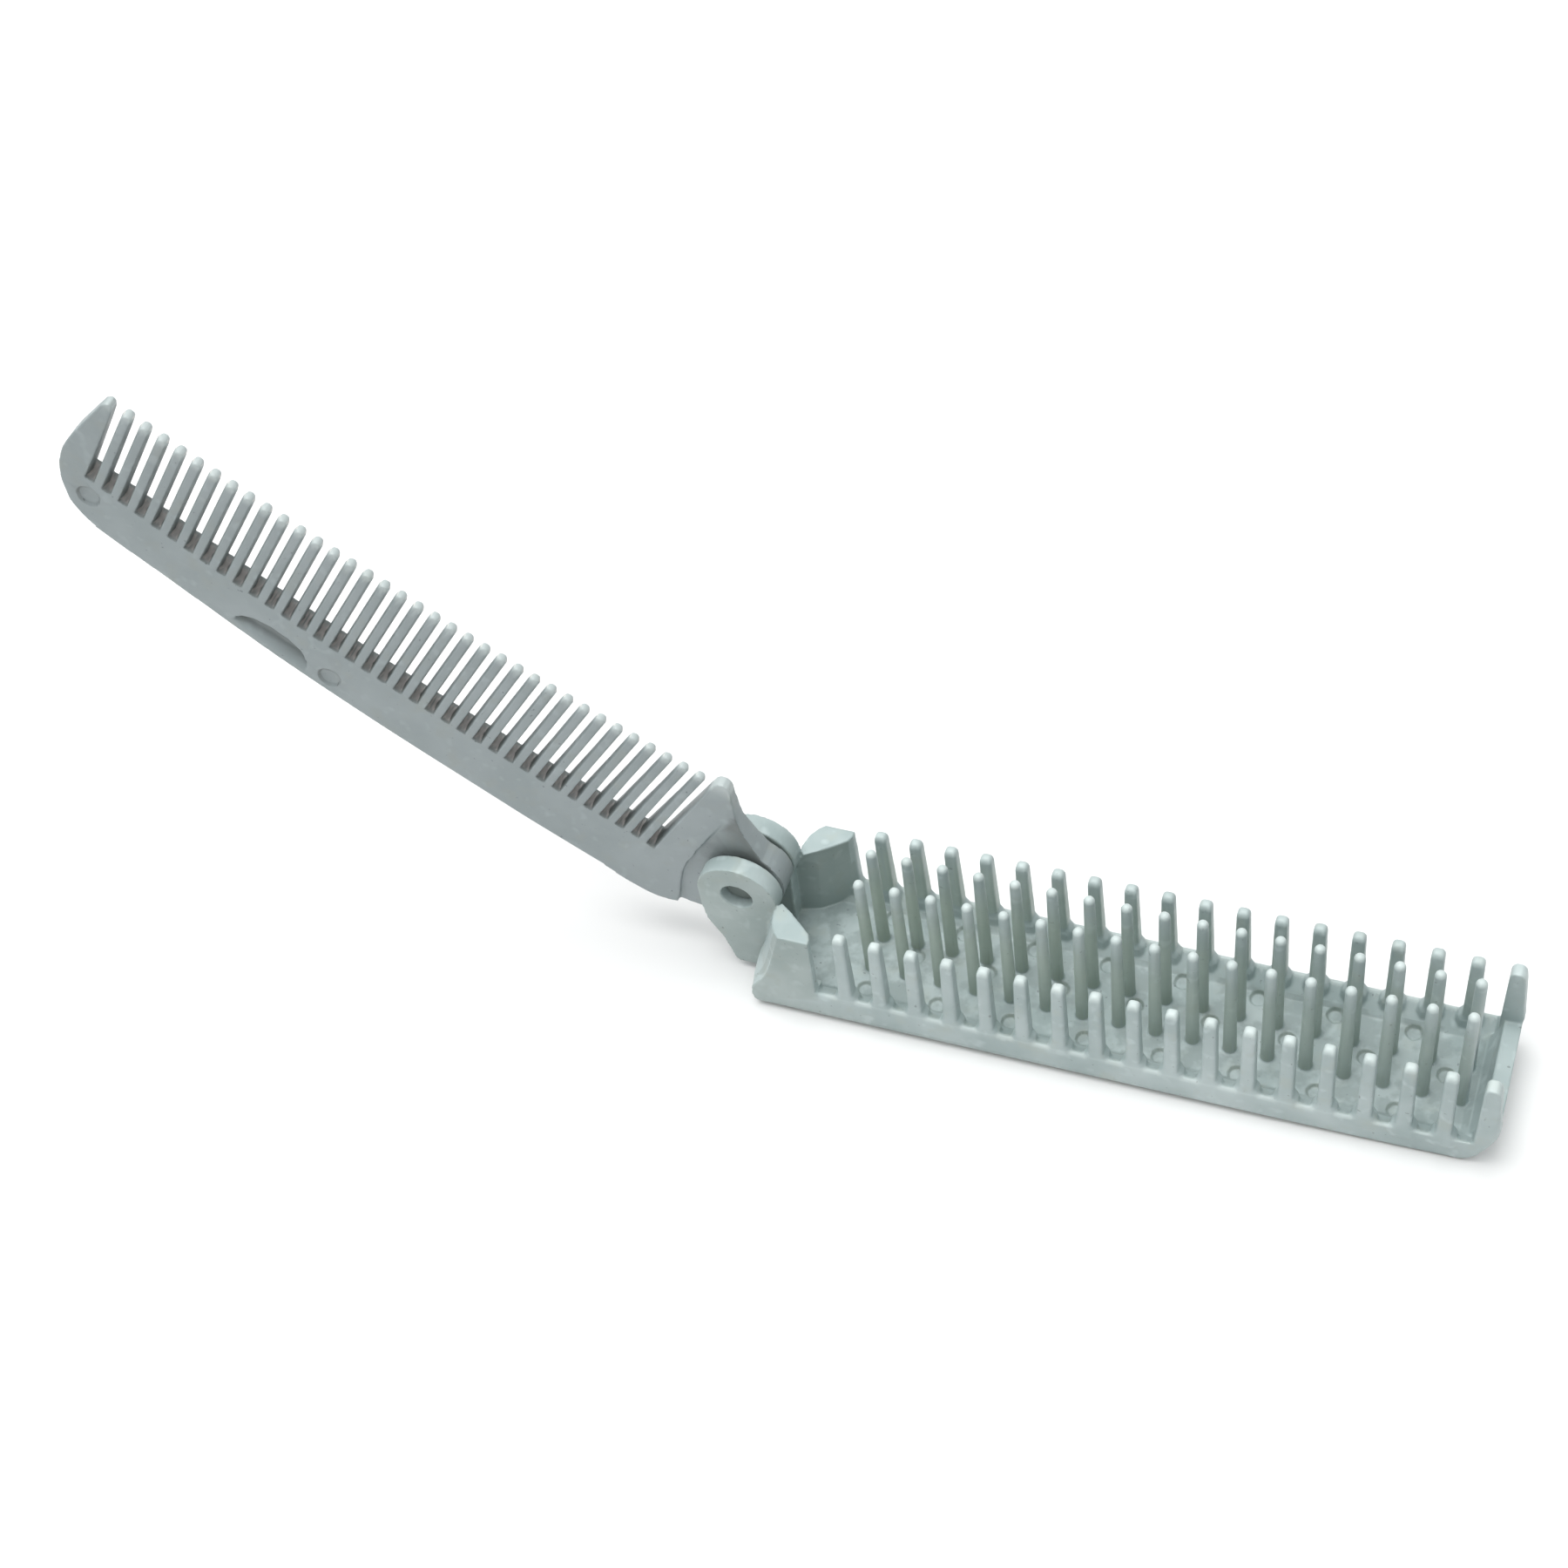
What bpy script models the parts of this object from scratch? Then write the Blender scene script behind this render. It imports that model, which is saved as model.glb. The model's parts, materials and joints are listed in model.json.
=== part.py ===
"""Folding pocket comb: a brush half with four rows of pins, a comb half and the pin they turn on.

Metres, +Z up. The origin is the middle of the brush half's flat back; +X runs along the brush half
to its free end and Y runs across it. The comb half stands part way open, as it was photographed.
The brush half is drawn square to its pins, then turned by the small angle that its back makes with them.
"""
import math

import bmesh
import bpy
from mathutils.geometry import tessellate_polygon

MM = 0.001

# Hinge, in millimetres: the axis runs along Y through this point
HINGE_X = -50.6
HINGE_Z = 15.0
REST_ANGLE = 145.26
HOLE_RADIUS = 2.25
PIN_RADIUS = 1.95
PIN_HALF_LENGTH = 3.4

# Brush half
BACK_ANGLE = 0.62
BACK_PIVOT = (-48.0, -1.1)
FLOOR = 2.0
FLOOR_EDGE = 2.76
FLAT_HALF = 6.74
RIM = 4.4
END_WALL_TOP = 6.4
WALL_INSIDE = 7.66
BACK_HALF_WIDTH = 10.15
TIP_HALF_WIDTH = 9.42
EDGE_ROUND = 1.6
PINS = 17
PITCH = 4.8
FIRST_PIN = -35.0
SIDE_TIP = 16.7
SIDE_TIP_HALF = 0.80
SIDE_FOOT_HALF = 0.93
SIDE_INSIDE = 7.75
SIDE_FOOT_OUTSIDE = 9.90
SIDE_TIP_OUTSIDE = 9.32
MIDDLE_ROW_Y = 2.49
MIDDLE_ROW_SHIFT = 1.05
MIDDLE_TIP = 20.95
MIDDLE_TIP_RADIUS = 0.72
MIDDLE_FOOT_RADIUS = 0.9
EAR_INSIDE = 2.25
EAR_OUTSIDE = 4.8
EAR_RADIUS = 5.5

# Comb half: u runs from the hinge axis to the free end, v towards the tips of the teeth
GAPS = 36
FIRST_GAP = 96.70
GAP_PITCH = 2.409
GAP_FLOOR_HALF = 0.65
GAP_MOUTH_HALF = 0.70
GAP_NARROWING = 0.24
GUARD_SWELL = 0.30
SWELL_FROM = 11.8
SWELL_TO = 15.3
TONGUE_HALF = 1.88
NICK_DEPTH = 1.05


def new_object(name, bm):
    """An object made from a bmesh in millimetres, with its faces turned outwards."""
    bmesh.ops.recalc_face_normals(bm, faces=bm.faces)
    bmesh.ops.scale(bm, vec=(MM, MM, MM), verts=bm.verts)
    mesh = bpy.data.meshes.new(name)
    bm.to_mesh(mesh)
    bm.free()
    obj = bpy.data.objects.new(name, mesh)
    bpy.context.scene.collection.objects.link(obj)
    return obj


def add_skin(bm, rings):
    """Closes a stack of rings with the same number of points into one body."""
    rows = [[bm.verts.new(p) for p in ring] for ring in rings]
    count = len(rows[0])
    for low, high in zip(rows, rows[1:]):
        for i in range(count):
            j = (i + 1) % count
            bm.faces.new((low[i], low[j], high[j], high[i]))
    bm.faces.new(rows[0][::-1])
    bm.faces.new(rows[-1])


def side_extrusion(name, outline, y_low, y_high):
    """A body with this x-z outline between two planes across Y."""
    bm = bmesh.new()
    add_skin(bm, [[(x, y, z) for x, z in outline] for y in (y_low, y_high)])
    return new_object(name, bm)


def combine(target, tool, operation):
    """One exact Boolean, applied at once, and the tool is removed."""
    modifier = target.modifiers.new("step", "BOOLEAN")
    modifier.operation = operation
    modifier.solver = "EXACT"
    modifier.object = tool
    bpy.context.view_layer.update()
    graph = bpy.context.evaluated_depsgraph_get()
    mesh = bpy.data.meshes.new_from_object(target.evaluated_get(graph))
    target.modifiers.remove(modifier)
    target.data = mesh
    bpy.data.objects.remove(tool)


def arc(cx, cz, radius, first, last, steps):
    """Points on a circle from one angle to another, in degrees."""
    angles = [math.radians(first + (last - first) * i / steps) for i in range(steps + 1)]
    return [(cx + radius * math.cos(a), cz + radius * math.sin(a)) for a in angles]


def wall_outline():
    """Side view of the tray: its back, the corner post, the side wall and the end at the hinge."""
    points = [(-46.4, -1.09), (42.9, -0.12), (44.2, 0.2), (45.2, 0.9), (46.1, 1.9), (46.9, 3.2), (47.7, 5.0)]
    points += [(48.15, 6.4), (48.25, 7.5), (48.1, 8.8), (47.95, 11.0), (47.75, 14.0), (47.6, 15.4)]
    points += [(47.35, 16.0), (46.95, 16.3), (46.25, 16.3), (45.85, 16.0)]
    points += [(45.7, 15.3), (45.55, 9.0), (45.45, RIM)]
    points += [(-40.5, RIM), (-41.5, 3.0), (-47.6, 3.0), (-48.2, 2.4)]
    points += [(-48.2, 0.4), (-47.9, -0.4), (-47.3, -0.95)]
    return points


def slot_cutters():
    """Cutters between the side pins: they slope the wall's top into the tray and round its outer edge."""
    spans = [(FIRST_PIN + (i - 0.5) * PITCH, 1.3) for i in range(1, PINS)]
    spans += [(FIRST_PIN - 2.55, 1.45), (FIRST_PIN + (PINS - 0.5) * PITCH - 0.13, 1.17)]
    section = [(7.4, 2.6), (9.5, 4.25), (9.72, 4.24), (9.88, 3.95), (9.97, 3.5), (10.8, 3.2), (10.8, 4.9)]
    section += [(7.4, 4.9)]
    bm = bmesh.new()
    for side in (-1, 1):
        for centre, half in spans:
            add_skin(bm, [[(centre + dx, side * y, z) for y, z in section] for dx in (-half, half)])
    return new_object("slots", bm)


def side_pins():
    """Both outer rows in one mesh: tapered pins with rounded tips, flared where they leave the wall."""
    levels = [(2.6, 1.85, 0.0), (4.4, 1.52, 0.0), (5.15, SIDE_FOOT_HALF, 0.0)]
    levels += [(SIDE_TIP - 0.7, SIDE_TIP_HALF, 0.0), (SIDE_TIP - 0.22, SIDE_TIP_HALF * 0.82, 0.18)]
    levels += [(SIDE_TIP, SIDE_TIP_HALF * 0.5, 0.46)]
    lean = (SIDE_TIP_OUTSIDE - SIDE_FOOT_OUTSIDE) / (SIDE_TIP - RIM)
    bm = bmesh.new()
    for side in (-1, 1):
        for i in range(PINS):
            cx = FIRST_PIN + i * PITCH
            rings = []
            for z, half, inset in levels:
                outside = SIDE_FOOT_OUTSIDE + lean * (z - RIM)
                low, high = SIDE_INSIDE + inset, min(outside, SIDE_FOOT_OUTSIDE) - inset
                c = 0.3 * half
                plan = [(half, low + c), (half, high - c), (half - c, high), (c - half, high)]
                plan += [(-half, high - c), (-half, low + c), (c - half, low), (half - c, low)]
                rings.append([(cx + dx, side * y, z) for dx, y in plan])
            add_skin(bm, rings)
    return new_object("side_pins", bm)


def hinge_post(name, side):
    """Post beside an ear: a slanting inner face, and an outer end face scooped back as it rises."""
    levels = [(1.0, -48.35, -46.9), (2.4, -48.35, -46.9), (3.2, -48.0, -46.9), (4.0, -47.4, -46.9)]
    levels += [(5.0, -46.6, -46.9), (6.0, -46.0, -46.9), (7.5, -45.4, -46.9), (9.1, -44.9, -46.9)]
    levels += [(10.7, -44.4, -46.9), (12.2, -44.0, -46.0), (13.6, -43.6, -45.2), (14.8, -43.2, -44.9)]
    back = [(0.0, 11.5), (0.0, 9.5), (0.75, 8.75), (1.5, 7.5), (1.95, 5.5)]
    inner = [(-43.0, 5.05), (-41.1, 6.5), (-39.5, 7.85), (-39.15, 8.7), (-39.15, 11.5)]
    rings = []
    for z, left, web in levels:
        lean = 0.055 * (z - 14.8)
        ring = [(max(left - out, -48.35 + 0.01 * out), y) for out, y in back]
        ring += [(web, 4.6), (max(web, -44.5 - (14.8 - z)), 4.05)]
        ring += [(x + lean, y) for x, y in inner[:3]] + inner[3:]
        rings.append([(x, side * y, z) for x, y in ring])
    bm = bmesh.new()
    add_skin(bm, rings)
    return new_object(name, bm)


def ear_outline():
    """Side view of an ear: a disc on a foot that stands on the tray."""
    points = arc(HINGE_X, HINGE_Z, EAR_RADIUS, 180, -32, 30)
    points += [(-46.1, 10.0), (-46.5, 0.6), (-51.4, 0.15), (-52.3, 0.3), (-52.8, 0.9)]
    points += [(-53.2, 2.6), (-54.0, 5.4), (-55.0, 7.2), (-55.7, 8.9), (-56.0, 11.2), (-56.1, 13.2)]
    return points


def middle_pins():
    """Both middle rows in one mesh: round tapered pins with rounded tips."""
    bm = bmesh.new()
    sides = 10
    rise = MIDDLE_TIP - FLOOR
    profile = [(1.2, MIDDLE_FOOT_RADIUS), (FLOOR + rise - 0.6, MIDDLE_TIP_RADIUS)]
    profile += [(MIDDLE_TIP - 0.18, MIDDLE_TIP_RADIUS * 0.74), (MIDDLE_TIP, MIDDLE_TIP_RADIUS * 0.28)]
    for row in (-1, 1):
        for i in range(PINS):
            cx = FIRST_PIN + MIDDLE_ROW_SHIFT + i * PITCH
            cy = row * MIDDLE_ROW_Y
            turns = [2 * math.pi * k / sides for k in range(sides)]
            rings = [[(cx + r * math.cos(a), cy + r * math.sin(a), z) for a in turns] for z, r in profile]
            add_skin(bm, rings)
    return new_object("middle_pins", bm)


def across_y(name, radius, half_length, segments):
    """A round bar along the hinge axis."""
    outline = arc(HINGE_X, HINGE_Z, radius, 0, 360 * (segments - 1) / segments, segments - 1)
    return side_extrusion(name, outline, -half_length, half_length)


def envelope_cut(body):
    """Trims the sides to their draft, rounds the long edges of the back and the corners of the free end."""
    slope = (BACK_HALF_WIDTH - TIP_HALF_WIDTH) / 16.4
    right = [(BACK_HALF_WIDTH - EDGE_ROUND, 0.0)]
    right += arc(BACK_HALF_WIDTH - EDGE_ROUND, EDGE_ROUND, EDGE_ROUND, -67.5, -2.5, 3)
    right += [(BACK_HALF_WIDTH - slope * 30, 30.0)]
    section = right + [(-y, z) for y, z in reversed(right)]
    drop = math.tan(math.radians(BACK_ANGLE))
    bm = bmesh.new()
    lines = []
    for x in (-70.0, 70.0):
        low = BACK_PIVOT[1] + (x - BACK_PIVOT[0]) * drop
        lines.append([(x, y, z + (low if z < 10 else 0.0)) for y, z in section])
    add_skin(bm, lines)
    combine(body, new_object("sides", bm), "INTERSECT")
    rings = []
    levels = [(-5.0, 3.6, 9.45), (2.5, 3.0, 9.6), (6.0, 1.5, 9.75), (9.0, 1.0, 9.75), (30.0, 1.0, 9.75)]
    for z, corner, half in levels:
        right = arc(48.3 - corner, half - corner, corner, 0, 75, 5)
        left = [(x, -y) for x, y in reversed(right)]
        rings.append([(x, y, z) for x, y in [(-70.0, -12.0)] + left + right + [(-70.0, 12.0)]])
    bm = bmesh.new()
    add_skin(bm, rings)
    combine(body, new_object("plan", bm), "INTERSECT")


def settle(x, z):
    """From the axes of the pins to those of the finished part, in which the back is level at zero."""
    a = math.radians(BACK_ANGLE)
    dx = x - BACK_PIVOT[0]
    dz = z - BACK_PIVOT[1]
    return BACK_PIVOT[0] + dx * math.cos(a) + dz * math.sin(a), -dx * math.sin(a) + dz * math.cos(a)


def settle_mesh(obj):
    """Turns a finished mesh so that the tray's back is level."""
    for vertex in obj.data.vertices:
        x, z = settle(vertex.co.x / MM, vertex.co.z / MM)
        vertex.co.x = x * MM
        vertex.co.z = z * MM


def build_brush_half():
    """Tray, side pins, hinge posts, ears and middle pins, joined into one moulding."""
    body = side_extrusion("brush_half", wall_outline(), -10.6, 10.6)
    above = [(45.47, 4.3), (45.8, 5.3), (46.05, END_WALL_TOP), (60.0, END_WALL_TOP)]
    above += [(60.0, 30.0), (-60.0, 30.0)]
    level = [(-60.0, FLOOR), (43.5, FLOOR), (44.6, 2.7)] + above
    beside = [(-60.0, FLOOR_EDGE), (44.5, FLOOR_EDGE), (44.7, 2.85)] + above
    rings = []
    walls = [(-WALL_INSIDE, beside), (-FLAT_HALF, level), (FLAT_HALF, level), (WALL_INSIDE, beside)]
    for y, outline in walls:
        rings.append([(x, y, z) for x, z in outline])
    bm = bmesh.new()
    add_skin(bm, rings)
    combine(body, new_object("cavity", bm), "DIFFERENCE")
    for side in (-1, 1):
        combine(body, hinge_post("post", side), "UNION")
    envelope_cut(body)
    combine(body, slot_cutters(), "DIFFERENCE")
    combine(body, side_pins(), "UNION")
    for side in (-1, 1):
        low, high = sorted((side * EAR_INSIDE, side * EAR_OUTSIDE))
        combine(body, side_extrusion("ear", ear_outline(), low, high), "UNION")
    combine(body, middle_pins(), "UNION")
    combine(body, across_y("bore", HOLE_RADIUS, 8.0, 28), "DIFFERENCE")
    settle_mesh(body)
    return body


def along_comb(u):
    """Position along the toothed length, -1 to 1."""
    return (u - 54.53) / 54.55


def gap_floor(u):
    s = along_comb(u)
    return -4.76 + 3.25 * s + 4.05 * s * s


def tip_line(u):
    s = along_comb(u)
    return 12.22 + 1.21 * s + 2.73 * s * s


SPINE = [(8.4, -14.05), (10.4, -14.2), (14.0, -14.3), (20.0, -14.33), (27.0, -14.28), (32.0, -14.1)]
SPINE += [(37.0, -13.9), (43.0, -13.65), (49.0, -13.35), (55.0, -12.92), (61.0, -12.4), (67.0, -11.75)]
SPINE += [(73.0, -10.9), (79.0, -9.97), (85.0, -9.05), (89.0, -8.5), (92.0, -8.05)]
SPINE += [(94.5, -7.45), (96.5, -6.5), (98.0, -5.35), (99.1, -3.9)]
END = [(98.0, -5.35), (99.1, -3.9), (99.9, -2.5), (100.5, -1.1), (100.9, 0.3), (101.1, 1.8), (101.15, 3.2)]
END += [(101.0, 4.6), (100.75, 6.0), (100.4, 7.6), (99.95, 9.5), (99.5, 11.4), (99.1, 13.0), (98.8, 14.2)]
END += [(98.4, 14.85), (97.95, 14.95), (97.6, 14.5), (97.4, 13.7)]
GUARD = [(11.7, 13.2), (11.4, 13.9), (10.8, 14.2), (10.1, 14.15), (9.5, 13.65), (8.9, 12.8), (8.2, 11.85)]
GUARD += [(7.3, 10.75), (6.6, 9.9), (5.9, 9.1), (5.0, 8.35), (3.9, 7.6), (2.6, 6.8), (1.2, 6.05)]
HEEL = [(0.2, -6.3), (0.9, -7.6), (1.2, -9.2), (1.3, -10.8)]
HEEL += [(2.6, -11.4), (4.0, -12.1), (5.4, -13.0), (6.8, -13.7)]


def spine_line(u):
    """The spine's outer edge at this distance from the hinge, smoothed between the points of its table."""
    i = max(j for j in range(len(SPINE) - 1) if SPINE[j][0] <= u)
    (u0, v0), (u1, v1) = SPINE[i], SPINE[i + 1]
    before = SPINE[max(i - 1, 0)]
    after = SPINE[min(i + 2, len(SPINE) - 1)]
    m0 = (v1 - before[1]) / (u1 - before[0])
    m1 = (after[1] - v0) / (after[0] - u0)
    w = u1 - u0
    t = (u - u0) / w
    curve = (2 * t ** 3 - 3 * t * t + 1) * v0 + (t ** 3 - 2 * t * t + t) * w * m0
    return curve + (3 * t * t - 2 * t ** 3) * v1 + (t ** 3 - t * t) * w * m1


def comb_half_thickness(u, v, on_teeth=False):
    """Half the thickness of the comb half: a wedge from spine to tips, a little fuller at the hinge."""
    wedge = 1.65 - 0.062 * (v - gap_floor(max(u, 12.4)))
    swell = min(1.0, max(0.0, (SWELL_TO - u) / (SWELL_TO - SWELL_FROM)))
    if on_teeth:
        return wedge
    near_axis = min(1.0, max(0.0, (10.5 - math.hypot(u, v)) / 4.0))
    return wedge + GUARD_SWELL * swell + max(0.0, TONGUE_HALF + 0.1 - wedge - GUARD_SWELL * swell) * near_axis


def comb_point(u, v, y):
    """The comb half's own axes are those of the folded position: u along X, teeth down."""
    return (u, y, -v)


def comb_blank():
    """The comb half before its cuts, faced tooth by tooth. Its gaps are narrower at the middle plane."""
    bm = bmesh.new()
    pairs = []
    middle = []
    flat = []

    def add(u, v, on_teeth=False, narrowing=0.0):
        half = comb_half_thickness(u, v, on_teeth)
        pairs.append(tuple(bm.verts.new(comb_point(u, v, side * half)) for side in (-1, 1)))
        middle.append(bm.verts.new(comb_point(u + narrowing, v, 0.0)) if narrowing else None)
        flat.append((u, v, 0.0))
        return len(pairs) - 1

    def both_sides(loop):
        for side in (0, 1):
            bm.faces.new([pairs[i][side] for i in loop])

    def both_sides_in_triangles(loop):
        for corners in tessellate_polygon([[flat[i] for i in loop]]):
            both_sides([loop[c] for c in corners])

    floor_left, floor_right, spine_left, spine_right, teeth = [], [], [], [], []
    for k in range(GAPS):
        centre = FIRST_GAP - GAP_PITCH * k
        floor = gap_floor(centre)
        floor_right.append(add(centre + GAP_FLOOR_HALF, floor, narrowing=-GAP_NARROWING))
        floor_left.append(add(centre - GAP_FLOOR_HALF, floor, narrowing=GAP_NARROWING))
        spine_right.append(add(centre + GAP_FLOOR_HALF, spine_line(centre + GAP_FLOOR_HALF)))
        spine_left.append(add(centre - GAP_FLOOR_HALF, spine_line(centre - GAP_FLOOR_HALF)))
    for k in range(GAPS - 1):
        tooth = FIRST_GAP - GAP_PITCH * (k + 0.5)
        tip = tip_line(tooth)
        half = GAP_PITCH / 2 - GAP_MOUTH_HALF
        shape = [(half, -0.4), (half * 0.6, -0.08), (0.0, 0.0), (-half * 0.6, -0.08), (-half, -0.4)]
        teeth.append([add(tooth + du, tip + dv, True, GAP_NARROWING * du / half) for du, dv in shape])
    end = [add(u, v) for u, v in END]
    guard = [add(u, v) for u, v in GUARD]
    tongue = [add(u, v) for u, v in arc(0.0, 0.0, EAR_RADIUS, 88, 264, 18)]
    heel = [add(u, v) for u, v in HEEL + SPINE[:2]]
    outline = heel + [i for k in reversed(range(GAPS)) for i in (spine_left[k], spine_right[k])] + end
    for k in range(GAPS):
        outline += [floor_right[k], floor_left[k]]
        if k < GAPS - 1:
            outline += teeth[k]
            both_sides_in_triangles([floor_left[k], floor_right[k + 1]] + teeth[k][::-1])
            both_sides([spine_left[k], spine_right[k + 1], floor_right[k + 1], floor_left[k]])
        both_sides([spine_right[k], spine_left[k], floor_left[k], floor_right[k]])
    outline += guard + tongue
    both_sides_in_triangles([spine_right[0]] + end + [floor_right[0]])
    both_sides_in_triangles([floor_left[-1]] + guard + tongue + heel + [spine_left[-1]])
    for i, j in zip(outline, outline[1:] + outline[:1]):
        near = [pairs[i][0], pairs[j][0]]
        far = [pairs[j][1], pairs[i][1]]
        if middle[i] and middle[j]:
            bm.faces.new(near + [middle[j], middle[i]])
            bm.faces.new([middle[i], middle[j]] + far)
        elif middle[i]:
            bm.faces.new((near[0], near[1], middle[i]))
            bm.faces.new((middle[i], near[1], far[0]))
            bm.faces.new((middle[i], far[0], far[1]))
        elif middle[j]:
            bm.faces.new((near[0], near[1], middle[j]))
            bm.faces.new((near[0], middle[j], far[1]))
            bm.faces.new((middle[j], far[0], far[1]))
        else:
            bm.faces.new(near + far)
    return new_object("comb_half", bm)


def skin_object(name, rings):
    """A cutter between a ring near the comb's surface and the same ring far outside it."""
    bm = bmesh.new()
    rows = [[bm.verts.new(p) for p in ring] for ring in rings]
    count = len(rows[0])
    for i in range(count):
        j = (i + 1) % count
        bm.faces.new((rows[0][i], rows[0][j], rows[1][j], rows[1][i]))
    for corners in tessellate_polygon([[(x, z, 0.0) for x, _, z in rings[0]]]):
        for row in rows:
            bm.faces.new([row[c] for c in corners])
    return new_object(name, bm)


def build_comb_half():
    """Teeth, spine and the tongue that turns between the ears, in one moulding."""
    comb = comb_blank()
    recess = [(7.0, 12.0), (7.7, 9.0), (7.4, 8.4), (7.4, -0.4), (7.2, -1.8), (7.25, -3.5), (6.8, -5.8)]
    recess += [(5.9, -8.3), (4.9, -10.5), (3.9, -13.5), (-8.0, -13.5), (-8.0, 12.0)]
    tongue = [(1.5, 8.0), (1.5, -13.0), (-7.0, -13.0), (-7.0, 8.0)]
    for side in (-1, 1):
        near = [comb_point(u, v, side * (1.80 - 0.07 * u - 0.02 * v)) for u, v in recess]
        far = [comb_point(u, v, side * 6.0) for u, v in recess]
        combine(comb, skin_object("recess", [near, far]), "DIFFERENCE")
        near = [comb_point(u, v, side * TONGUE_HALF) for u, v in tongue]
        far = [comb_point(u, v, side * 6.0) for u, v in tongue]
        combine(comb, skin_object("tongue", [near, far]), "DIFFERENCE")
    circle = arc(0, 0, HOLE_RADIUS, 0, 347.14, 27)
    bore = [[comb_point(u, v, y) for u, v in circle] for y in (-6.0, 6.0)]
    combine(comb, skin_object("bore", bore), "DIFFERENCE")
    crest = [(73.3, -9.1), (72.6, -8.2), (71.2, -7.45), (68.8, -7.05), (66.1, -7.4)]
    crest += [(64.0, -8.2), (62.6, -9.6)]
    nick = [(u, v, NICK_DEPTH) for u, v in crest] + [(62.0, -11.6, -0.05), (73.4, -9.9, -0.05)]
    near = [comb_point(u, v, depth - comb_half_thickness(u, v)) for u, v, depth in nick]
    far = [comb_point(u, v, -6.0) for u, v, depth in nick]
    combine(comb, skin_object("nick", [near, far]), "DIFFERENCE")
    x, z = settle(HINGE_X, HINGE_Z)
    comb.location = (x * MM, 0.0, z * MM)
    comb.rotation_euler = (0.0, -math.radians(REST_ANGLE - BACK_ANGLE), 0.0)
    return comb


def finish(obj, name, colour):
    """Its own plain plastic material, smooth shading broken at real edges."""
    material = bpy.data.materials.new(name)
    material.use_nodes = True
    shader = material.node_tree.nodes["Principled BSDF"]
    shader.inputs["Base Color"].default_value = (*colour, 1.0)
    shader.inputs["Roughness"].default_value = 0.55
    obj.data.materials.clear()
    obj.data.materials.append(material)
    for polygon in obj.data.polygons:
        polygon.use_smooth = True
    obj.data.set_sharp_from_angle(angle=math.radians(32))


for leftover in list(bpy.data.objects):
    bpy.data.objects.remove(leftover, do_unlink=True)

brush_half = build_brush_half()
comb_half = build_comb_half()
hinge_pin = across_y("hinge_pin", PIN_RADIUS, PIN_HALF_LENGTH, 28)
settle_mesh(hinge_pin)
finish(brush_half, "brush_plastic", (0.48, 0.56, 0.53))
finish(comb_half, "comb_plastic", (0.48, 0.56, 0.53))
finish(hinge_pin, "pin_plastic", (0.42, 0.50, 0.47))
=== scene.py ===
"""Folding pocket comb in pale grey-green plastic, lying on its brush half with the comb half part way open.

Metres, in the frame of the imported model. Each moulding is remade finely from its CAD solid, so that its
edges and inner corners are softly rounded, and low round marks of the mould are pressed into it.
"""
import json
import math
from collections import namedtuple

import bpy
import numpy as np
from mathutils import Matrix, Vector


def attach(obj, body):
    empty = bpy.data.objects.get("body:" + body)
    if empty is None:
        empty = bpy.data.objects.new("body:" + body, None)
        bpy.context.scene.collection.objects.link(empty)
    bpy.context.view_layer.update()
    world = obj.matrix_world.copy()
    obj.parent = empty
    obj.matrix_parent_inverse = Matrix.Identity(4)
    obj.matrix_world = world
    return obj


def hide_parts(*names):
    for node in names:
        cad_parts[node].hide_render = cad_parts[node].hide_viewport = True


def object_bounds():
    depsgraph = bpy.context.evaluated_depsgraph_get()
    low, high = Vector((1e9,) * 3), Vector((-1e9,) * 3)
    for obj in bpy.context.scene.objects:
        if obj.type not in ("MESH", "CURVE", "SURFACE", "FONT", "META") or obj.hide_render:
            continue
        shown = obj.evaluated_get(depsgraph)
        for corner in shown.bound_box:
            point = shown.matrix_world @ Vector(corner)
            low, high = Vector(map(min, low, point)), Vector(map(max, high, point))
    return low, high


MM = 0.001

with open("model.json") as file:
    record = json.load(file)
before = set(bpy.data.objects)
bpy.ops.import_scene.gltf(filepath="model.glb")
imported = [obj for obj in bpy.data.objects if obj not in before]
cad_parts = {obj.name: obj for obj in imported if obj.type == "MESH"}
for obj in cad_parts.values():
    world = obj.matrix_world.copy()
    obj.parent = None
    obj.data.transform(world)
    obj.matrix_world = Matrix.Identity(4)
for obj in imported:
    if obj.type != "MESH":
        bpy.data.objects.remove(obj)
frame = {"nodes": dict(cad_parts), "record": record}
cad_low, cad_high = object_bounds()
nodes = frame["nodes"]

# The hinge axis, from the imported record, and the lean of the comb half at rest
fold = frame["record"]["behaviour"]["joints"][0]
hinge = Vector(fold["pos_m"])
REST_LEAN = math.radians(144.64)

# Comb half, in millimetres: u runs from the hinge axis to the free end, v towards the tips of the teeth
GAPS = 36
FIRST_GAP = 96.70
GAP_PITCH = 2.409
GAP_FLOOR_HALF = 0.65
GAP_MARGIN = 0.02
TEETH_MIDDLE = 54.53
TEETH_HALF_LENGTH = 54.55
HALF_THICKNESS = 1.65
THINNING = 0.062
RECESS_END = 7.2
RECESS_LOWEST = 1.5
TONGUE_FACE = 1.85
NICK_START = 61.5
NICK_END = 74.0
NICK_HIGHEST = -6.8
FIRST_TIP = 9.0

# Where the gaps and the teeth end, as v: the constant, linear and square terms along the toothed length
GAP_FLOOR_CURVE = (-4.76, 3.25, 4.05)
TIP_CURVE = (12.22, 1.21, 2.73)

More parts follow.
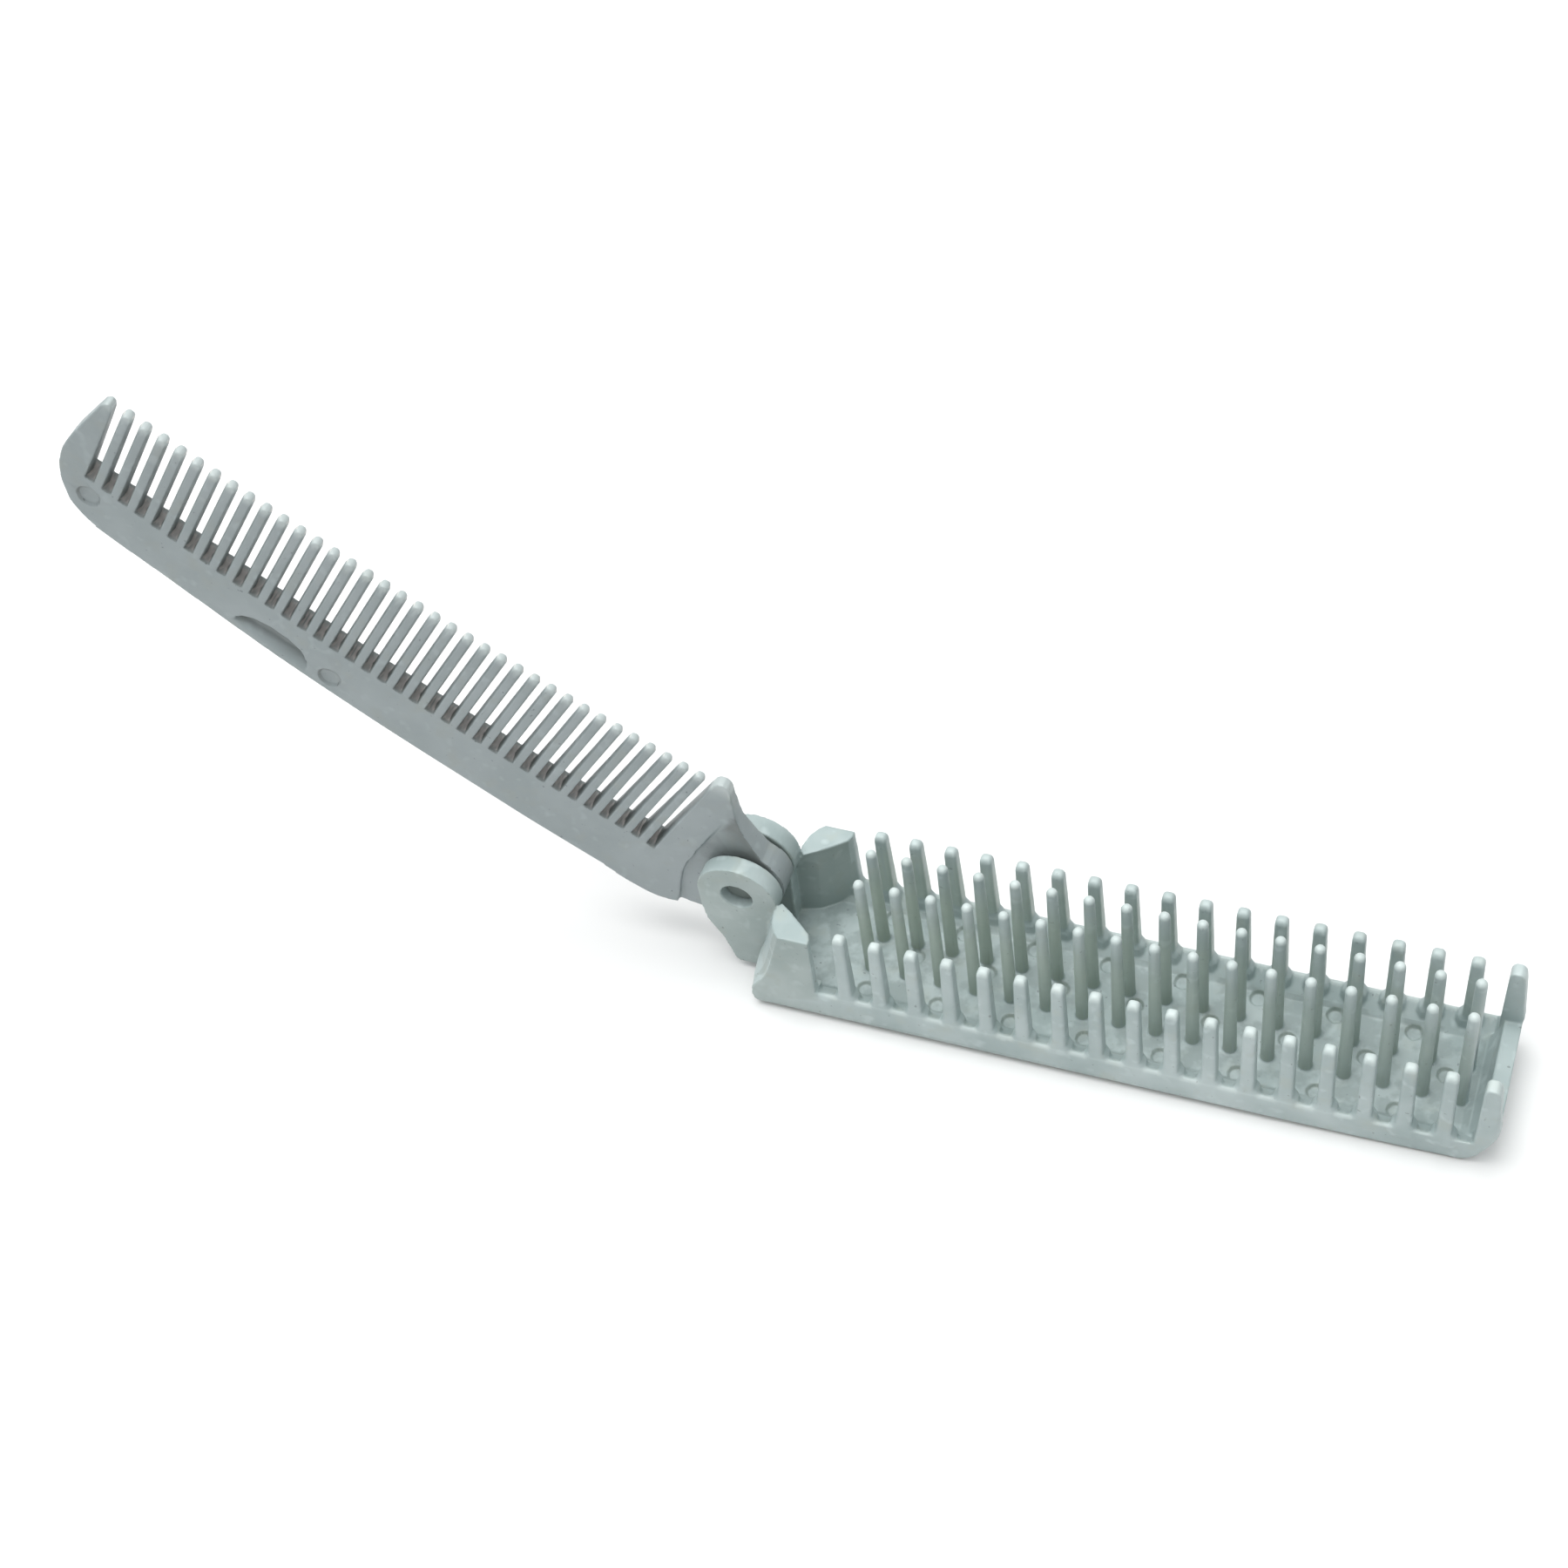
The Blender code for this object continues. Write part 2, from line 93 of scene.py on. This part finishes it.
# Brush half, in millimetres: the axes of the pins lean by BACK_ANGLE against the flat back
BACK_ANGLE = math.radians(0.62)
BACK_PIVOT_X = -48.0
BACK_PIVOT_Z = -1.1
TRAY_FLOOR = 2.0
FLOOR_TOP = 2.6
POSTS_END = -38.6
PIN_FIELD_START = -37.0
PIN_FIELD_END = 43.5
END_WALL = 44.5
MIDDLE_ROWS_HALF = 5.0
SIDE_ROWS_FROM = 7.3
WALL_INSIDE = 7.6
OUTER_FACE_FROM = 9.1
WALL_GAPS_FROM = 2.2
WALL_GAPS_TO = 5.8
SIDE_TIPS_FROM = 15.7
LIP_HEIGHT = 4.15
FIRST_LIP = -37.6
LAST_LIP = 45.0

# How the mouldings are remade
BRUSH_VOXEL = 0.16 * MM
COMB_VOXEL = 0.15 * MM
BRUSH_FULLER = 0.03 * MM
COMB_FULLER = 0.02 * MM
ROUNDING_STEPS = 2
SOFTER_STEPS = 6
FACES_KEPT = 0.24

# Round marks, in millimetres: on the tray's floor they stand in three staggered rows, each given by the
# place of its first mark, and on the comb half each is given by u, v and half the thickness there
MARKS_IN_ROW = 8
MARK_PITCH = 9.9
FLOOR_ROWS = ((-33.7, -5.9), (-33.7, 5.9), (-28.8, 0.7))
FLOOR_MARK_RADIUS = 1.05
FLOOR_MARK_DEPTH = 0.42
COMB_MARKS = ((59.1, -10.0, 1.95), (96.0, -2.9, 1.6))
COMB_MARK_RADIUS = 1.5
COMB_MARK_DEPTH = 0.35
MARK_FACING = 0.8
PRESSED_WITHIN = 0.5 * MM
NEAR_MARK = 2.2 * MM
RIM_WIDTH = 0.35 * MM
RIM_WITHIN = 0.8 * MM
LOWER_RIM_SHARE = 0.2

# Strength of what is stored on the brush half, from 0 to 1
LOW_EDGE_SHADE = 0.55
FLOOR_SHADE = 0.03
FOOT_SHADE = 0.27
FLOOR_RIM_SHADE = 0.45
NEAR_END_SHADE = 0.19
MIDDLE_PIN_GREASE = 0.8
REAR_PIN_GREASE = 0.5
GREASE_AT_FREE_END = 0.45
PIN_TIP_HIGHLIGHT = 0.42
REAR_SHARE_OF_HIGHLIGHT = 0.4
LIP_HIGHLIGHT = 0.3

# Strength of what is stored on the comb half, from 0 to 1
GAP_SHADE = 0.5
UNDERSIDE_SHADE = 0.4
RECESS_SHADE = 0.6
NICK_SHADE = 0.4
COMB_RIM_SHADE = 0.8
GAP_FLOOR_PAINTED_LIGHT = 0.95
TOOTH_TIP_HIGHLIGHT = 0.34

Mark = namedtuple("Mark", "centre out up radius depth")
# The plastic's base, cloudy and warm tones, the colour of its painted shade, and the tint of greased pins,
# which on the comb half is a paler tone for painted light on the floors of the gaps
Tones = namedtuple("Tones", "base cloud warm deep greasy")

BRUSH_TONES = Tones(base=(0.442, 0.515, 0.515), cloud=(0.332, 0.406, 0.405), warm=(0.383, 0.437, 0.41),
                    deep=(0.080, 0.097, 0.045), greasy=(0.415, 0.494, 0.417))
COMB_TONES = Tones(base=(0.2975, 0.339075, 0.35035), cloud=(0.2625, 0.304825, 0.31317),
                   warm=(0.28, 0.311675, 0.3003), deep=(0.085, 0.090, 0.080), greasy=(0.56, 0.53, 0.51))
PIN_TONES = Tones(base=(0.16, 0.19, 0.18), cloud=(0.12, 0.15, 0.14), warm=(0.15, 0.17, 0.15),
                  deep=(0.03, 0.035, 0.015), greasy=(0.15, 0.18, 0.15))
# Colour of the painted highlights on the upward tips of the pins, the lips of the wall's gaps and the tips of
# the teeth
PAINTED_HIGHLIGHT_TONE = (0.72, 0.79, 0.77)
PALE_SPOT_SCALE = 1.18
SPECK_SCALE = 0.42
STAIN_SCALE = 0.68
FLOOR_TONE = (0.83, 0.83, 0.83)

# Sockets of a Mix node that mixes colours
MIX_FACTOR, MIX_ONE, MIX_TWO, MIX_RESULT = 0, 6, 7, 2


def link(obj):
    bpy.context.scene.collection.objects.link(obj)
    return obj


def evaluated(obj):
    """Replaces an object's mesh by the result of its modifiers."""
    graph = bpy.context.evaluated_depsgraph_get()
    mesh = bpy.data.meshes.new_from_object(obj.evaluated_get(graph))
    obj.modifiers.clear()
    obj.data = mesh


def mesh_arrays(mesh):
    """Positions and normals of a mesh's vertices."""
    count = len(mesh.vertices)
    places = np.empty(count * 3, dtype=np.float32)
    normals = np.empty(count * 3, dtype=np.float32)
    mesh.vertices.foreach_get("co", places)
    mesh.vertex_normals.foreach_get("vector", normals)
    return places.reshape(count, 3).astype(float), normals.reshape(count, 3).astype(float)


def ramp_down(values, full, none):
    """One where the values have reached full, zero where they have reached none, and smooth between."""
    t = np.clip((values - none) / (full - none), 0.0, 1.0)
    return t * t * (3.0 - 2.0 * t)


def on_tray(x, y, z):
    """From the axes of the pins, in millimetres, to a point of the part."""
    dx = x - BACK_PIVOT_X
    dz = z - BACK_PIVOT_Z
    part_x = BACK_PIVOT_X + dx * math.cos(BACK_ANGLE) + dz * math.sin(BACK_ANGLE)
    return Vector((part_x, y, -dx * math.sin(BACK_ANGLE) + dz * math.cos(BACK_ANGLE))) * MM


def pin_axes(places):
    """From points of the part to the axes of the pins, in millimetres, with the distance from the middle."""
    along = places[:, 0] / MM - BACK_PIVOT_X
    high = places[:, 2] / MM
    pin_x = along * math.cos(BACK_ANGLE) - high * math.sin(BACK_ANGLE) + BACK_PIVOT_X
    pin_z = along * math.sin(BACK_ANGLE) + high * math.cos(BACK_ANGLE) + BACK_PIVOT_Z
    return pin_x, np.abs(places[:, 1]) / MM, pin_z


def comb_point(u, v, y):
    """A point of the comb half at rest, from u, v and y in millimetres."""
    x = u * math.cos(REST_LEAN) + v * math.sin(REST_LEAN)
    z = u * math.sin(REST_LEAN) - v * math.cos(REST_LEAN)
    return hinge + Vector((x, y, z)) * MM


def comb_axes(places):
    """From points of the part to u, v and y of the comb half, in millimetres."""
    away = (places - np.array(hinge)) / MM
    u = away[:, 0] * math.cos(REST_LEAN) + away[:, 2] * math.sin(REST_LEAN)
    v = away[:, 0] * math.sin(REST_LEAN) - away[:, 2] * math.cos(REST_LEAN)
    return u, v, away[:, 1]


def comb_curve(terms, u):
    """The v of a curve along the toothed length."""
    constant, linear, square = terms
    s = (u - TEETH_MIDDLE) / TEETH_HALF_LENGTH
    return constant + linear * s + square * s * s


def round_mark(centre, out, up, radius, depth):
    """A round mark: its centre, the direction that faces out of it, its upper side, and its sizes."""
    return Mark(np.array(centre), np.array(out), np.array(up), radius * MM, depth * MM)


def in_mark_axes(places, mark):
    """How far each place stands out of a mark's plane, and where it is in that plane."""
    away = places - mark.centre
    height = away @ mark.out
    return height, away - np.outer(height, mark.out)


def mark_rims(places, marks):
    """How near each vertex is to the rim of a round mark, for painted shade that is darker on the rim's upper
    half.
    """
    amounts = np.zeros(len(places))
    for mark in marks:
        near = (np.abs(places - mark.centre) < NEAR_MARK).all(axis=1)
        height, flat = in_mark_axes(places[near], mark)
        from_rim = np.abs(np.linalg.norm(flat, axis=1) - mark.radius)
        share = np.interp(flat @ mark.up / mark.radius, (-1.0, 1.0), (LOWER_RIM_SHARE, 1.0))
        rim = share * ramp_down(from_rim, full=0.0, none=RIM_WIDTH)
        amounts[near] = np.maximum(amounts[near], np.where(np.abs(height) < RIM_WITHIN, rim, 0.0))
    return amounts


def smooth(obj, steps):
    """Adds a Smooth modifier that moves each vertex half way to its neighbours in each step."""
    modifier = obj.modifiers.new("smooth", "SMOOTH")
    modifier.factor = 0.5
    modifier.iterations = steps
    return modifier


def soft_moulding(name, node, voxel, fuller, marks, softer=None):
    """A fine copy of a CAD node with softly rounded edges and corners, and with round marks pressed in.

    Softer says which places are rounded more.
    """
    obj = link(bpy.data.objects.new(name, nodes[node].data.copy()))
    obj.data.materials.clear()
    remesh = obj.modifiers.new("fine", "REMESH")
    remesh.mode = "VOXEL"
    remesh.voxel_size = voxel
    evaluated(obj)
    places, normals = mesh_arrays(obj.data)
    places += normals * fuller
    for mark in marks:
        height, flat = in_mark_axes(places, mark)
        inside = (np.linalg.norm(flat, axis=1) < mark.radius) & (np.abs(height) < PRESSED_WITHIN)
        places[inside & (normals @ mark.out > MARK_FACING)] -= mark.out * mark.depth
    obj.data.vertices.foreach_set("co", places.astype(np.float32).ravel())
    obj.data.update()
    smooth(obj, ROUNDING_STEPS)
    if softer:
        group = obj.vertex_groups.new(name="softer")
        group.add(np.flatnonzero(softer(places)).tolist(), 1.0, "REPLACE")
        smooth(obj, SOFTER_STEPS).vertex_group = group.name
    thin = obj.modifiers.new("thin", "DECIMATE")
    thin.ratio = FACES_KEPT
    evaluated(obj)
    for polygon in obj.data.polygons:
        polygon.use_smooth = True
    return obj


def feed(tree, socket, value):
    """Links a node's output to an input, or sets the input to a number or a colour."""
    if isinstance(value, bpy.types.NodeSocket):
        tree.links.new(value, socket)
    elif isinstance(value, tuple):
        socket.default_value = (*value, 1.0)
    else:
        socket.default_value = value


def math_node(tree, operation, *values):
    made = tree.nodes.new("ShaderNodeMath")
    made.operation = operation
    for socket, value in zip(made.inputs, values):
        feed(tree, socket, value)
    return made.outputs[0]


def scaled(colour, factor):
    return tuple(channel * factor for channel in colour)


def plastic(name, tones, roughness):
    """Matte moulded plastic: cloudy variation of tone, fine dark and light specks, and a faint grain.

    Its meshes store amounts of stain, of tint for greased pins and painted light in the gaps, of painted
    shade and of painted highlight.
    """
    material = bpy.data.materials.new(name)
    material.use_nodes = True
    tree = material.node_tree
    tree.nodes.clear()
    place = tree.nodes.new("ShaderNodeTexCoord")

    def noise(scale, detail, rough):
        made = tree.nodes.new("ShaderNodeTexNoise")
        made.inputs["Scale"].default_value = scale
        made.inputs["Detail"].default_value = detail
        made.inputs["Roughness"].default_value = rough
        tree.links.new(place.outputs["Object"], made.inputs["Vector"])
        return made.outputs["Fac"]

    def ramp(source, low, high, first=0.0, last=1.0):
        made = tree.nodes.new("ShaderNodeValToRGB")
        for element, position, level in zip(made.color_ramp.elements, (low, high), (first, last)):
            element.position = position
            element.color = (level, level, level, 1.0)
        tree.links.new(source, made.inputs["Fac"])
        return made.outputs["Color"]

    def mix(factor, one, two, strength=1.0):
        if strength < 1.0:
            factor = math_node(tree, "MULTIPLY", factor, strength)
        made = tree.nodes.new("ShaderNodeMix")
        made.data_type = "RGBA"
        feed(tree, made.inputs[MIX_FACTOR], factor)
        feed(tree, made.inputs[MIX_ONE], one)
        feed(tree, made.inputs[MIX_TWO], two)
        return made.outputs[MIX_RESULT]

    def stored(attribute):
        made = tree.nodes.new("ShaderNodeAttribute")
        made.attribute_name = attribute
        return made.outputs["Fac"]

    def bump(height, strength, distance):
        made = tree.nodes.new("ShaderNodeBump")
        made.inputs["Strength"].default_value = strength
        made.inputs["Distance"].default_value = distance
        tree.links.new(height, made.inputs["Height"])
        return made

    clouds = ramp(noise(scale=95.0, detail=3.0, rough=0.55), low=0.38, high=0.66)
    tone = mix(clouds, tones.cloud, tones.base)
    blotches = ramp(noise(scale=330.0, detail=2.0, rough=0.5), low=0.56, high=0.72)
    tone = mix(blotches, tone, tones.warm, strength=0.6)
    pale_spots = ramp(noise(scale=520.0, detail=1.0, rough=0.5), low=0.60, high=0.74)
    tone = mix(pale_spots, tone, scaled(tones.base, PALE_SPOT_SCALE), strength=0.5)
    specks = ramp(noise(scale=1500.0, detail=1.0, rough=0.4), low=0.735, high=0.79)
    tone = mix(specks, tone, scaled(tones.base, SPECK_SCALE), strength=0.75)

    # Stains gather on the floor of the tray and the greased pins take a tint; the floors of the gaps between
    # the teeth are painted paler and warmer as painted light, recesses get painted shade, and tips painted
    # highlights
    stains = ramp(noise(scale=300.0, detail=3.0, rough=0.6), low=0.45, high=0.57)
    stains = math_node(tree, "MULTIPLY", stains, stored("floor"))
    tone = mix(stains, tone, scaled(tones.cloud, STAIN_SCALE), strength=0.52)
    tone = mix(stored("grease_and_painted_light"), tone, tones.greasy)
    tone = mix(stored("shade"), tone, tones.deep)
    tone = mix(stored("painted_highlight"), tone, PAINTED_HIGHLIGHT_TONE)

    shader = tree.nodes.new("ShaderNodeBsdfPrincipled")
    tree.links.new(tone, shader.inputs["Base Color"])
    shader.inputs["Specular IOR Level"].default_value = 0.5
    gloss = ramp(noise(scale=700.0, detail=2.0, rough=0.6), low=0.3, high=0.75,
                 first=roughness - 0.07, last=roughness + 0.08)
    tree.links.new(gloss, shader.inputs["Roughness"])
    waves = bump(noise(scale=260.0, detail=2.0, rough=0.5), strength=0.30, distance=0.22 * MM)
    grain = bump(noise(scale=1900.0, detail=3.0, rough=0.6), strength=0.28, distance=0.06 * MM)
    tree.links.new(waves.outputs["Normal"], grain.inputs["Normal"])
    tree.links.new(grain.outputs["Normal"], shader.inputs["Normal"])
    out = tree.nodes.new("ShaderNodeOutputMaterial")
    tree.links.new(shader.outputs["BSDF"], out.inputs["Surface"])
    return material


def store(obj, name, amounts):
    """Keeps an amount from 0 to 1 for each vertex, for the material to read."""
    attribute = obj.data.attributes.new(name, "FLOAT", "POINT")
    attribute.data.foreach_set("value", np.clip(amounts, 0.0, 1.0).astype(np.float32))


def side_row_corners(places):
    """The tips of the side pins and the gaps in the wall between them."""
    pin_x, beside, pin_z = pin_axes(places)
    wall_gaps = (pin_z > WALL_GAPS_FROM) & (pin_z < WALL_GAPS_TO)
    return (beside > SIDE_ROWS_FROM) & (pin_x > POSTS_END) & (wall_gaps | (pin_z > SIDE_TIPS_FROM))


def dress_brush(brush, marks):
    """Stores where the brush half has painted shade, stains, a greased tint and painted highlights."""
    places, normals = mesh_arrays(brush.data)
    up = normals[:, 2]
    pin_x, beside, pin_z = pin_axes(places)
    along_pins = (pin_x > PIN_FIELD_START) & (pin_x < PIN_FIELD_END)
    in_middle_rows = (beside < MIDDLE_ROWS_HALF) & (pin_x > POSTS_END)
    in_rear_row = places[:, 1] > SIDE_ROWS_FROM * MM

    # Painted shade: the lowest edges, the tray's floor, the feet of the middle pins, the rims of the marks,
    # and the near faces of the ear and the post
    low_edge = ramp_down(places[:, 2] / MM, full=0.35, none=0.9) * ramp_down(up, full=-0.5, none=-0.05)
    on_floor = (up > 0.7) & (pin_z < FLOOR_TOP) & (beside < WALL_INSIDE) & (pin_x < END_WALL)
    feet = ramp_down(pin_z, full=2.3, none=6.5) * ramp_down(up, full=0.2, none=0.7)
    feet = feet * (along_pins & in_middle_rows)
    near_end = ramp_down(pin_x, full=-39.5, none=-38.5) * (normals[:, 1] < -0.6)
    shades = [LOW_EDGE_SHADE * low_edge, FLOOR_SHADE * on_floor, FOOT_SHADE * feet,
              FLOOR_RIM_SHADE * mark_rims(places, marks), NEAR_END_SHADE * near_end]
    store(brush, "shade", np.maximum.reduce(shades))
    store(brush, "floor", on_floor)

    # Greasy: the middle pins and the rear pins above the wall, less towards their tips and the free end
    middle_pins = along_pins & in_middle_rows & (pin_z > 2.4)
    rear_pins = along_pins & in_rear_row & (pin_z > 5.5)
    grease_and_painted_light = middle_pins * MIDDLE_PIN_GREASE * ramp_down(pin_z, full=12.0, none=21.0)
    grease_and_painted_light = np.where(rear_pins, REAR_PIN_GREASE * ramp_down(pin_z, full=12.0, none=16.5), grease_and_painted_light)
    store(brush, "grease_and_painted_light", grease_and_painted_light * np.interp(pin_x, (-35.0, 43.0), (1.0, GREASE_AT_FREE_END)))

    # Painted highlights: paler upward faces at the tips of the pins and on the outer lips of the gaps between
    # the side pins
    side_tips = ramp_down(pin_z, full=16.6, none=15.5) * (beside > SIDE_ROWS_FROM)
    tips = np.where(in_middle_rows, ramp_down(pin_z, full=20.7, none=19.6), side_tips)
    tips = tips * np.where(in_rear_row, REAR_SHARE_OF_HIGHLIGHT, 1.0)
    lips = ramp_down(np.abs(pin_z - LIP_HEIGHT), full=0.15, none=0.5)
    lips = lips * ((beside > OUTER_FACE_FROM) & (pin_x > FIRST_LIP) & (pin_x < LAST_LIP))
    painted_highlights = [PIN_TIP_HIGHLIGHT * tips * ramp_down(up, full=0.7, none=-0.1),
            LIP_HIGHLIGHT * lips * ramp_down(up, full=0.5, none=0.0)]
    store(brush, "painted_highlight", np.maximum.reduce(painted_highlights))


def dress_comb(comb, marks):
    """Stores where the comb half has painted shade, painted light in the gaps and painted highlights."""
    places, normals = mesh_arrays(comb.data)
    u, v, y = comb_axes(places)
    sideways = np.abs(normals[:, 1])
    towards_tips = normals[:, 0] * math.sin(REST_LEAN) - normals[:, 2] * math.cos(REST_LEAN)

    # Painted light with a warm tint: the floors of the gaps between the teeth are paler and warmer, away from
    # their outer edges
    number = np.clip(np.round((FIRST_GAP - u) / GAP_PITCH), 0, GAPS - 1)
    gap_middle = FIRST_GAP - GAP_PITCH * number
    above_floor = v - comb_curve(GAP_FLOOR_CURVE, gap_middle)
    in_gap = (np.abs(u - gap_middle) < GAP_FLOOR_HALF + GAP_MARGIN) & (above_floor > -0.15) & (sideways < 0.8)
    inner_floor = (in_gap & (towards_tips > 0.5)) * ramp_down(np.abs(y), full=0.9, none=1.55)
    store(comb, "grease_and_painted_light", GAP_FLOOR_PAINTED_LIGHT * inner_floor)

    # Painted shade: the rest of the gaps, the underside of the spine, the recess beside the tongue, the thumb
    # nick, whose depth is how far its face lies inside the wedge, and the rims of the marks
    gaps = in_gap * (1.0 - inner_floor) * ramp_down(above_floor, full=0.3, none=5.5)
    underside = ramp_down(normals[:, 2], full=-0.75, none=-0.25)
    in_recess = (u < RECESS_END) & (v > RECESS_LOWEST) & (sideways > 0.5) & (np.abs(y) < TONGUE_FACE)
    recess = in_recess * ramp_down(u, full=6.4, none=RECESS_END)
    in_nick = (u > NICK_START) & (u < NICK_END) & (v < NICK_HIGHEST) & (y < 0.0)
    inside_wedge = HALF_THICKNESS - THINNING * above_floor + y
    nick = in_nick * ramp_down(inside_wedge, full=0.9, none=0.15)
    shades = [GAP_SHADE * gaps, UNDERSIDE_SHADE * underside, RECESS_SHADE * recess, NICK_SHADE * nick,
              COMB_RIM_SHADE * mark_rims(places, marks)]
    store(comb, "shade", np.maximum.reduce(shades))

    # Painted highlights: paler tips of the teeth
    below_tips = v - comb_curve(TIP_CURVE, u)
    store(comb, "painted_highlight", TOOTH_TIP_HIGHLIGHT * ramp_down(below_tips, full=-0.1, none=-1.3) * (u > FIRST_TIP))


brush_plastic = plastic("brush_plastic", BRUSH_TONES, roughness=0.44)
comb_plastic = plastic("comb_plastic", COMB_TONES, roughness=0.44)
pin_plastic = plastic("pin_plastic", PIN_TONES, roughness=0.6)

# Round marks of the mould's ejector pins
across = Vector((0.0, 1.0, 0.0))
upward = Vector((0.0, 0.0, 1.0))
tray_up = Vector((math.sin(BACK_ANGLE), 0.0, math.cos(BACK_ANGLE)))
floor_marks = []
for i in range(MARKS_IN_ROW):
    for first_x, row_y in FLOOR_ROWS:
        centre = on_tray(first_x + MARK_PITCH * i, row_y, TRAY_FLOOR)
        floor_marks.append(round_mark(centre, tray_up, across, FLOOR_MARK_RADIUS, FLOOR_MARK_DEPTH))
comb_marks = []
for mark_u, mark_v, half in COMB_MARKS:
    centre = comb_point(mark_u, mark_v, -half)
    comb_marks.append(round_mark(centre, -across, upward, COMB_MARK_RADIUS, COMB_MARK_DEPTH))

brush = soft_moulding("brush_moulding", "brush_half", BRUSH_VOXEL, BRUSH_FULLER, floor_marks,
                      softer=side_row_corners)
brush.data.materials.append(brush_plastic)
dress_brush(brush, floor_marks)
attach(brush, "brush_body")
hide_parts("brush_half")

comb = soft_moulding("comb_moulding", "comb_half", COMB_VOXEL, COMB_FULLER, comb_marks)
comb.data.materials.append(comb_plastic)
dress_comb(comb, comb_marks)
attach(comb, "comb_body")
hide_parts("comb_half")

pin_node = nodes["hinge_pin"]
pin_node.data.materials.clear()
pin_node.data.materials.append(pin_plastic)

# A plain pale floor just below the part
FLOOR_HALF = 3.0
FLOOR_BELOW = 0.02 * MM
FLOOR_CORNERS = ((-1, -1), (1, -1), (1, 1), (-1, 1))
paper = bpy.data.materials.new("floor_paper")
paper.use_nodes = True
paper_shader = paper.node_tree.nodes["Principled BSDF"]
paper_shader.inputs["Base Color"].default_value = (*FLOOR_TONE, 1.0)
paper_shader.inputs["Roughness"].default_value = 0.9
paper_shader.inputs["Specular IOR Level"].default_value = 0.0
floor_mesh = bpy.data.meshes.new("floor")
floor_mesh.from_pydata([(x * FLOOR_HALF, y * FLOOR_HALF, 0.0) for x, y in FLOOR_CORNERS], [], [(0, 1, 2, 3)])
floor_mesh.materials.append(paper)
floor = link(bpy.data.objects.new("floor", floor_mesh))
floor.location.z = cad_low.z - FLOOR_BELOW

# A wide soft sky, brightest overhead and a little to the left, and dark at the horizon
SKY_TINT = (0.985, 1.0, 1.0)
BRIGHTEST_TOWARDS = Vector((-0.12, -0.02, 1.0))
SKY_FALLOFF = 2.0
SKY_STRENGTH = 1.95
HORIZON_STRENGTH = 0.12
scene = bpy.context.scene
world = bpy.data.worlds.new("studio")
scene.world = world
world.use_nodes = True
sky = world.node_tree
background = sky.nodes["Background"]
background.inputs["Color"].default_value = (*SKY_TINT, 1.0)
direction = sky.nodes.new("ShaderNodeTexCoord")
height = sky.nodes.new("ShaderNodeVectorMath")
height.operation = "DOT_PRODUCT"
height.inputs[1].default_value = BRIGHTEST_TOWARDS.normalized()
sky.links.new(direction.outputs["Generated"], height.inputs[0])
above = math_node(sky, "MAXIMUM", height.outputs["Value"], 0.0)
falloff = math_node(sky, "POWER", above, SKY_FALLOFF)
strength = math_node(sky, "MULTIPLY_ADD", falloff, SKY_STRENGTH, HORIZON_STRENGTH)
sky.links.new(strength, background.inputs["Strength"])

# One soft square light overhead
LIGHT_PLACE = Vector((-0.15, 0.0, 0.8))
LIGHT_AIM = Vector((-0.04, 0.0, 0.0))
LIGHT_SIZE = 0.5
LIGHT_WATTS = 3.1
LIGHT_TINT = (1.0, 1.0, 0.99)
light_data = bpy.data.lights.new("overhead", "AREA")
light_data.shape = "RECTANGLE"
light_data.size = LIGHT_SIZE
light_data.size_y = LIGHT_SIZE
light_data.energy = LIGHT_WATTS
light_data.color = LIGHT_TINT
light = link(bpy.data.objects.new("overhead", light_data))
light.location = LIGHT_PLACE
light.rotation_euler = (LIGHT_AIM - LIGHT_PLACE).to_track_quat("-Z", "Y").to_euler()

# Camera fitted to the pins, the teeth and the hinge in the photograph, with its place in millimetres
CAMERA_PLACE = Vector((53.13, -171.93, 268.401))
CAMERA_RIGHT = Vector((0.93120, 0.33946, -0.13281))
CAMERA_DOWN = Vector((0.18408, -0.75242, -0.63244))
CAMERA_AHEAD = Vector((-0.31463, 0.56448, -0.76314))
LENS = 56.308
SENSOR_WIDTH = 36.0
CLIP_START = 0.01
camera_data = bpy.data.cameras.new("camera")
camera = link(bpy.data.objects.new("camera", camera_data))
turn = Matrix((CAMERA_RIGHT, -CAMERA_DOWN, -CAMERA_AHEAD)).transposed()
camera.matrix_world = Matrix.Translation(CAMERA_PLACE * MM) @ turn.to_4x4()
camera_data.lens = LENS
camera_data.sensor_width = SENSOR_WIDTH
camera_data.clip_start = CLIP_START
scene.camera = camera

scene.view_settings.view_transform = "Standard"
scene.view_settings.look = "None"
